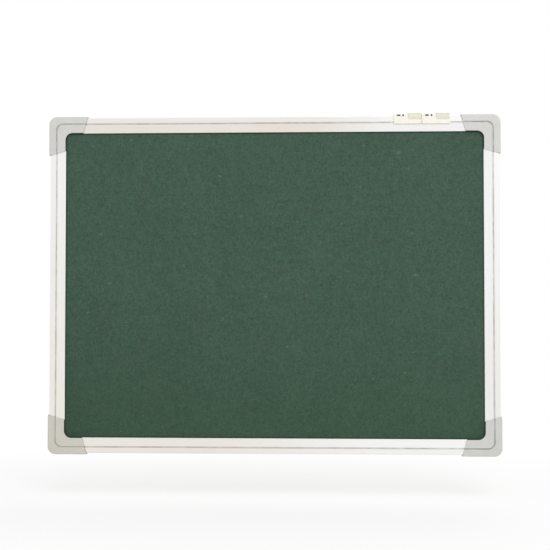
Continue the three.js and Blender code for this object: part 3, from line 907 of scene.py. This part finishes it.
def recess_bar(x, width, angle):
    turn, rings = Matrix.Rotation(angle, 2), []
    for depth, share in ((-0.5, 1.0), (SCREW_TOP, 1.0), (SCREW_TOP + RECESS_DEPTH, RECESS_TAPER)):
        u, v = RECESS_LONG * share, RECESS_WIDE
        spots = [turn @ Vector(corner) for corner in ((-u, -v), (u, -v), (u, v), (-u, v))]
        rings.append([at(x + spot.x, width + spot.y, depth) for spot in spots])
    return skin("recess", rings)


def make_screw(corner_name, corner, index, place):
    name = f"{corner_name}_{index}"
    made = turned("dressed_screw_" + name, screw_profile(), *place, segments=24)
    angle = math.radians(17 + 31 * index + 23 * corner[2])
    bars = [recess_bar(*place, angle + quarter) for quarter in (0, math.pi / 2)]
    combine(made, bars, "DIFFERENCE")
    carry(made, *corner)
    return settle(made, "board", "zinc_screw", [ZINC], "cap_screw_" + name)


screws = [
    make_screw(corner_name, corner, index + 1, place)
    for corner_name, corner in CORNERS.items()
    for index, place in enumerate(SCREW_PLACES)
]
print("screws", len(screws))

# %% [markdown]
# Each hanger is one nylon moulding. A saddle snaps over the top rail with a toe in the groove at
# the front and another behind, two small windows sit over the front toe, a thicker grip swells
# softly out of its right half, and a plate with a keyhole hangs down behind the rail. Saddle and
# grip are sections carried along the rail, with closer rings where the grip rises out of the lip.

# %% The hangers' saddle and grip
HANGER_LENGTH = 36.6
HANGER_WALL = 1.6
HANGER_LIP = 1.4
HANGER_WEB = 1.3
HANGER_FIT = 0.3
HANGER_BACK = 0.4
HANGER_POINTS = 0.4, 1.5
SADDLE_RISE = 0.8
HANGER_INSIDE = RAIL_OUTER - HANGER_FIT
WEB_TOP = HANGER_INSIDE - HANGER_WEB
SADDLE_TOP = WEB_TOP - SADDLE_RISE
LIP_INSIDE = RAIL_FRONT + HANGER_FIT
LIP_FACE = LIP_INSIDE + HANGER_LIP
GRIP_LENGTH = 18.3
GRIP_RISE = 1.7
GRIP_PROUD = 0.9
GRIP_DROP = 6.6
GRIP_EASE = 2.6
GRIP_ROUND = 0.8
GRIP_SIDE = 2.0


def saddle_section():
    toe, rear_inside, round_edge = HANGER_TOE, RAIL_REAR - HANGER_FIT, 0.7
    return [
        *arc(SADDLE_TOP + round_edge, LIP_FACE - round_edge, round_edge, 180, 90, 5),
        (HANGER_CHIN, LIP_FACE),
        (HANGER_CHIN, LIP_INSIDE),
        (GROOVE + toe, LIP_INSIDE),
        (GROOVE + toe, RAIL_FRONT - 0.6),
        (GROOVE - toe, RAIL_FRONT - 0.6),
        (GROOVE - toe, LIP_INSIDE),
        (HANGER_INSIDE, LIP_INSIDE),
        (HANGER_INSIDE, rear_inside),
        (GROOVE - toe, rear_inside),
        (GROOVE, RAIL_REAR + 0.4),
        (GROOVE + toe, rear_inside),
        (GROOVE + HANGER_WALL, rear_inside),
        (GROOVE + HANGER_WALL, HANGER_BACK),
        (SADDLE_TOP, HANGER_BACK),
    ][::-1]


def swell(share):
    share = min(1.0, max(0.0, share))
    return share * share * (3 - 2 * share)


def grip_section():
    r, top, front = GRIP_ROUND, WEB_TOP - GRIP_RISE, LIP_FACE + GRIP_PROUD
    web, lip = HANGER_INSIDE - HANGER_WEB / 2, LIP_INSIDE + HANGER_LIP / 2
    rise, shares = GRIP_PROUD - 0.05, [i / 8 for i in range(9)]
    return [
        *arc(top + r, RAIL_REAR + r, r, 180, 270, 5),
        (web, RAIL_REAR),
        (web, lip),
        (GRIP_DROP, lip),
        *((GRIP_DROP - GRIP_EASE * t, front - rise * (1 - swell(t))) for t in shares),
        *arc(top + r, front - r, r, 90, 180, 5),
    ]


def make_saddle(name, start, end):
    outline = held(saddle_section(), *HANGER_POINTS)
    places = stations(start, end, *HANGER_POINTS)
    return skin(name, [[at(x, w, d) for w, d in outline] for x in places])


def make_grip(start, end):
    """The grip, which rises from the lip's face over its first two millimetres."""
    outline = held(grip_section(), *HANGER_POINTS)
    places = [start + GRIP_SIDE * i / 8 for i in range(9)]
    places += stations(start + GRIP_SIDE + 0.2, end, *HANGER_POINTS)[1:]
    rings = []
    for x in places:
        share = 0.06 + 0.94 * swell((x - start) / GRIP_SIDE)
        depths = [LIP_FACE + (d - LIP_FACE) * share if d > LIP_FACE else d for w, d in outline]
        rings.append([at(x, w, depth) for (w, d), depth in zip(outline, depths)])
    return skin("grip", rings)


# %% [markdown]
# The plate, its keyhole and the windows are slabs with drawn outlines. The edges of each form are
# eased on their own, because a bevel over the joined moulding would run into the fine toes, and a
# boolean union then makes one body of them. The faces of the grip get their own plastic.

# %% The hangers' plate, windows and union
WINDOW_TOP, WINDOW_WIDTHS, WINDOW_HEIGHT = SADDLE_TOP + 0.55, (4.6, 2.3), 2.4
WINDOW_START, WINDOW_APART, WINDOW_DEPTH = 4.2, 2.5, 4.5
PLATE_HALF, PLATE_DROP, PLATE_CORNER = 12.0, 42.0, 6.0
NECK_TOP, NECK_RADIUS, HEAD_DROP, HEAD_HOLE = 26.0, 2, 34.0, 4
SHOULDER = math.degrees(math.asin(NECK_RADIUS / HEAD_HOLE))
KEYHOLE = [
    *arc(0, NECK_TOP, NECK_RADIUS, 180, 360, 12),
    *arc(0, HEAD_DROP, HEAD_HOLE, SHOULDER - 90, 270 - SHOULDER, 28),
]
PLATE = [
    (-PLATE_HALF, GROOVE),
    (PLATE_HALF, GROOVE),
    *arc(PLATE_HALF - PLATE_CORNER, PLATE_DROP - PLATE_CORNER, PLATE_CORNER, 0, 90, 8),
    *arc(PLATE_CORNER - PLATE_HALF, PLATE_DROP - PLATE_CORNER, PLATE_CORNER, 90, 180, 8),
]


def make_plate():
    plate = slab("plate", PLATE, HANGER_BACK, HANGER_BACK + HANGER_WALL)
    combine(plate, [slab("keyhole", KEYHOLE, -1, 4)], "DIFFERENCE")
    return soften_edges(plate, 0.2)


def window_cutters():
    down = WINDOW_TOP, WINDOW_TOP + WINDOW_HEIGHT
    depths = LIP_FACE - WINDOW_DEPTH, LIP_FACE + 1
    cutters, x = [], WINDOW_START - HANGER_LENGTH / 2
    for wide in WINDOW_WIDTHS:
        cutters.append(block("window", (x, x + wide), down, depths))
        x += wide + WINDOW_APART
    return cutters


def mark_grip(made):
    """Gives the raised grip's faces the second material."""
    for face in made.data.polygons:
        x, depth, width = face.center.x / MM, -face.center.y / MM, -face.center.z / MM
        proud = depth > LIP_FACE + 0.04 or width < SADDLE_TOP - 0.1
        face.material_index = int(proud and x > HANGER_LENGTH / 2 - GRIP_LENGTH - 0.1)


def make_hanger(side):
    low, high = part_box("hanger_" + side)
    half = HANGER_LENGTH / 2
    saddle = soften_edges(make_saddle("dressed_hanger_" + side, -half, half), 0.2)
    combine(saddle, window_cutters(), "DIFFERENCE")
    grip = soften_edges(make_grip(half - GRIP_LENGTH, half - 0.3), 0.35, 3)
    combine(saddle, [grip, make_plate()], "UNION")
    mark_grip(saddle)
    carry(saddle, (low.x + high.x) / 2 / MM, BOARD_TOP, 0)
    plastics = [HANGER_PLASTIC, GRIP_PLASTIC]
    return settle(saddle, "hanger_" + side, "cream_hanger_plastic", plastics, "hanger_" + side)


hangers = [make_hanger(side) for side in ("left", "right")]
print("hangers", [(h.name, len(h.data.polygons)) for h in hangers])

# %% [markdown]
# The felt is glued over the softboard and turned down round its edges, so it has a flat face, a
# soft bend and a short turned edge. A grid makes it, fine enough to hold the slight unevenness
# that glue and handling leave, and a Solidify modifier gives the cloth its thickness. Its face
# stays below the rails' lips, which trap it.

# %% The felt sheet
FELT_THICKNESS = 1.0
FELT_COLUMNS, FELT_ROWS = 150, 112
FELT_BEND = 1.1
FELT_UNEVEN = 0.1
FADE_CELLS = 3
BEND_FOOT = FELT_FRONT - FELT_BEND
TURNED_EDGE = [(0.0, FELT_TURN + (BEND_FOOT - FELT_TURN) * i / 4) for i in range(4)]
TURNED_EDGE += arc(FELT_BEND, BEND_FOOT, FELT_BEND, 180, 108, 4)


def uneven(x, z):
    slow = noise.noise(Vector((x / 90, z / 90, 3.7)))
    quick = noise.noise(Vector((x / 17, z / 17, 8.1)))
    return FELT_UNEVEN * (0.7 * slow + 0.3 * quick)


def felt_line(low, high, count):
    """Places and depths along a line over the sheet: up one turned edge, across and down."""
    start, step = low + FELT_BEND, (high - low - 2 * FELT_BEND) / count
    face = [(start + step * i, FELT_FRONT) for i in range(count + 1)]
    down = [(high - inwards, depth) for inwards, depth in TURNED_EDGE[::-1]]
    return [(low + inwards, depth) for inwards, depth in TURNED_EDGE] + face + down


def make_felt():
    across = felt_line(BOARD_LEFT + FELT_EDGE, BOARD_RIGHT - FELT_EDGE, FELT_COLUMNS)
    upwards = felt_line(BOARD_BOTTOM + FELT_EDGE, BOARD_TOP - FELT_EDGE, FELT_ROWS)
    first = len(TURNED_EDGE)
    last_i, last_j = first + FELT_COLUMNS, first + FELT_ROWS
    points, index, faces = [], {}, []

    def number_of(i, j):
        if (i, j) not in index:
            index[i, j] = len(points)
            (x, x_depth), (z, z_depth) = across[i], upwards[j]
            near = max(0, min(i - first, last_i - i, j - first, last_j - j))
            rise = min(1.0, near / FADE_CELLS) * uneven(x, z)
            points.append((x, FELT_UNEVEN - min(x_depth, z_depth) - rise, z))
        return index[i, j]

    for i in range(len(across) - 1):
        for j in range(len(upwards) - 1):
            if first <= i < last_i or first <= j < last_j:
                cells = [(i, j), (i + 1, j), (i + 1, j + 1), (i, j + 1)]
                faces.append(tuple(number_of(*cell) for cell in cells))
    return new_object("felt_sheet", points, faces)


felt = make_felt()
cloth = felt.modifiers.new("thickness", "SOLIDIFY")
cloth.thickness = FELT_THICKNESS * MM
cloth.offset = -1
apply_modifiers(felt)
settle(felt, "board", "green_felt", [FELT], "felt_cover")
print("felt", len(felt.data.polygons), "faces")

# %% [markdown]
# Bits of pale lint cling to the felt. Each is a tuft of thin curled fibres that lies flat, one to
# eight millimetres long and mostly level, as a wiping hand leaves it. The plainest ones have
# places of their own, and a seeded scatter adds hundreds of small ones. A fibre is a thin bent
# tube, so that it catches light.

# %% Tufts of lint
LINT_CLEARANCE = 0.03
FIBRE_TIP = 0.02
TUFT_TURN, FIBRE_TURN, FIBRE_CURL = 0.4, 0.7, 3
TUFT_SPREAD = (0.3, 0.18)
FIBRE_SHARE = (0.3, 0.8)


def lint_fibre(centre, length, heading, curl, radius, steps, sides):
    """Rings of a bent tube that lies on the felt."""
    rings = []
    for s in range(steps + 1):
        t = s / steps - 0.5
        angle = heading + curl * t
        x = centre[0] + length * t * math.cos(heading + curl * t / 2)
        z = centre[1] + length * t * math.sin(heading + curl * t / 2)
        size = radius * (1 - (2 * abs(t)) ** 3) + FIBRE_TIP
        ring = []
        for k in range(sides):
            around = math.tau * k / sides
            across = size * math.cos(around)
            rise = FELT_FRONT + LINT_CLEARANCE + 0.5 * size * math.sin(around)
            ring.append((x - across * math.sin(angle), -rise, z + across * math.cos(angle)))
        rings.append(ring)
    return rings


def tuft(draw, x, z, length, radius, count, steps, sides):
    def either_way(most):
        return draw.uniform(-most, most)

    heading = either_way(TUFT_TURN)
    fibres = []
    for n in range(count):
        centre = (x + either_way(TUFT_SPREAD[0]) * length, z + either_way(TUFT_SPREAD[1]) * length)
        turn = heading + either_way(FIBRE_TURN)
        size = length * draw.uniform(*FIBRE_SHARE)
        curl = either_way(FIBRE_CURL)
        fibres.append(lint_fibre(centre, size, turn, curl, radius, steps, sides))
    return fibres


# %% [markdown]
# The plain tufts are given as x, z and a length. Their fibres are rounder and bend in more steps
# than those of the small ones. All of them make one object, which lies on the sheet and joins the
# board's body with it, because lint isn't a sheet of its own.

# %% Lint on the felt
LINT_SEED = 11
LINT_MARGIN = RAIL_INNER + 6
SMALL_TUFTS = 420
PLAIN_TUFTS = (
    (-190, -5, 3.4), (-43, -108, 4.0), (-119, -91, 3.2), (-120, -173, 3.0), (-219, -197, 4.6),
    (-231, -131, 3.6), (166, -24, 5.0), (120, -14, 3.0), (184, -131, 3.2), (189, -186, 4.4),
    (184, -288, 2.8), (19, -281, 3.4), (-10, -215, 3.0), (99, -181, 2.8), (-71, -54, 3.6),
    (-25, -338, 2.2), (-248, -236, 3.0), (116, -69, 3.0), (164, -60, 2.8), (-105, -131, 2.4),
    (32, -116, 2.6), (91, -118, 2.4), (3, -174, 2.6), (18, -204, 2.4), (174, -315, 3.0),
    (132, -323, 2.4), (-192, -229, 2.2), (27, -280, 2.4), (-204, -121, 2.4), (-219, -92, 2.6),
    (-93, -163, 2.2), (0, -117, 2.2), (-12, -149, 2.0),
)


def all_fibres():
    draw = random.Random(LINT_SEED)
    left, right = BOARD_LEFT + LINT_MARGIN, BOARD_RIGHT - LINT_MARGIN
    low, high = BOARD_BOTTOM + LINT_MARGIN, BOARD_TOP - LINT_MARGIN
    fibres = []
    for x, z, length in PLAIN_TUFTS:
        count = round(2 * length**1.6)
        fibres += tuft(draw, x, z, length * 1.7, 0.13, count, steps=8, sides=4)
    for n in range(SMALL_TUFTS):
        x, z = draw.uniform(left, right), draw.uniform(low, high)
        length, radius = draw.uniform(1.2, 3.0), draw.uniform(0.08, 0.13)
        fibres += tuft(draw, x, z, length, radius, 6, steps=4, sides=3)
    return fibres


def lint_material():
    material, tree = new_material("pale_lint", Roughness=0.9)
    drift = placed(tree, MOTTLE, Scale=300.0)["Value"]
    colour = blend_colours(tree, drift, (0.08, 0.136, 0.105), (0.114, 0.173, 0.137))
    return finish(material, colour)


lint = skin("felt_lint", *all_fibres())
lint.data.materials.append(lint_material())
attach(lint, "board")

# %% [markdown]
# The hidden pieces keep their own solids and get their finish: the keys, the softboard and the
# hardboard back, which shows from behind.

# %% Finishes of the carried-over pieces
CARRIED_OVER = {"corner_key_" + name: KEY_PLASTIC for name in CORNERS}
CARRIED_OVER.update(softboard_core=SOFTBOARD, hardboard_back=HARDBOARD)
for node, material in CARRIED_OVER.items():
    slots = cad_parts[node].data.materials
    slots.clear()
    slots.append(material)
print("carried over", len(CARRIED_OVER))

# %% [markdown]
# The board hangs in clean, even light over a plain pale floor. To the camera and in mirror-like
# surfaces the world is pure white, and so is the floor a step away from the board, so the metal
# has something bright to show. Under the board the floor keeps its own colour and the shadow, and
# an oval, wider along the board, fades the one into the other.

# %% Floor and world
FLOOR_RADIUS = 3000
FLOOR_DROP = 60
FLOOR_SIDES = 96
FLOOR_COLOURS = (0.86, 0.86, 0.855), (0.9, 0.9, 0.895)
WORLD_FILL = 0.62
WHITE = (1, 1, 1, 1)


def rays_that_see_white(tree):
    """1 for rays from the camera, off mirror-like surfaces and through clear ones."""
    rays = add_node(tree, "LightPath", {})
    mirrored = larger(tree, rays["Is Glossy Ray"], rays["Is Transmission Ray"])
    return larger(tree, rays["Is Camera Ray"], mirrored)


def away_from_board(tree):
    """0.68 under the board, and 1 from an oval a step away from it."""
    oval = calculate(tree, "MULTIPLY", object_place(tree), (0.3, 1.0, 0.0), "VectorMath")
    off = add_node(tree, "VectorMath", {0: oval}, operation="LENGTH")["Value"]
    return spread(tree, off, 0.06, 0.4, 0.68, 1.0)


def make_floor():
    ring = arc(0, 0, FLOOR_RADIUS, 0, 360, FLOOR_SIDES)[:-1]
    points = [(x, y, BOARD_BOTTOM - FLOOR_DROP) for x, y in ring]
    floor = new_object("floor", points, [tuple(range(FLOOR_SIDES))])
    material, tree = new_material("pale_floor", Roughness=0.9)
    drift = placed(tree, MOTTLE, Scale=3.0)["Value"]
    finish(material, blend_colours(tree, drift, *FLOOR_COLOURS))
    painted, white = tree.nodes["Principled BSDF"].outputs[0], add_node(tree, "Emission", {})[0]
    seen_white = multiply(tree, away_from_board(tree), rays_that_see_white(tree))
    mixed = add_node(tree, "MixShader", {0: seen_white, 1: painted, 2: white})[0]
    feed(tree, mixed, tree.nodes["Material Output"].inputs["Surface"])
    floor.data.materials.append(material)
    return floor


def make_world():
    world = bpy.data.worlds.new("studio")
    world.use_nodes = True
    bpy.context.scene.world = world
    tree = world.node_tree
    tree.nodes.clear()
    light, white = (
        add_node(tree, "Background", {"Color": WHITE, "Strength": strength})[0]
        for strength in (WORLD_FILL, 1.0)
    )
    mixed = add_node(tree, "MixShader", {0: rays_that_see_white(tree), 1: light, 2: white})[0]
    add_node(tree, "OutputWorld", {"Surface": mixed})
    return world


print("set", make_floor().name, "and", make_world().name)

# %% [markdown]
# Three wide lamps add what the even world lacks. One from above the front, a little to the right,
# gives the soft shadow under the frame's lips, and stays out of reflections, because the metal
# would show it as a patch. A faint cool one lifts the right side, and one lights the back.

# %% Lamps
MIDDLE = (0, 0, MIDDLE_Z * MM)


def add_lamp(name, place, target, size, power, colour=(1, 1, 1)):
    data = bpy.data.lights.new(name, "AREA")
    data.size = size
    data.energy = power
    data.color = colour
    lamp = show(name, data)
    lamp.location = place
    lamp.rotation_euler = (Vector(target) - Vector(place)).to_track_quat("-Z", "Y").to_euler()
    return lamp


key = add_lamp("key", (0.5, -1.9, 1.4), MIDDLE, 1.2, 30)
key.visible_glossy = False
add_lamp("right_fill", (0.9, -1.4, 0.5), (0.25, 0, -0.15), 0.8, 0.8, (0.97, 0.99, 1.0))
add_lamp("back_fill", (0.8, 2.2, 1.2), MIDDLE, 1.6, 18)
bpy.context.scene.view_settings.view_transform = "Standard"

# %% End
print("done")
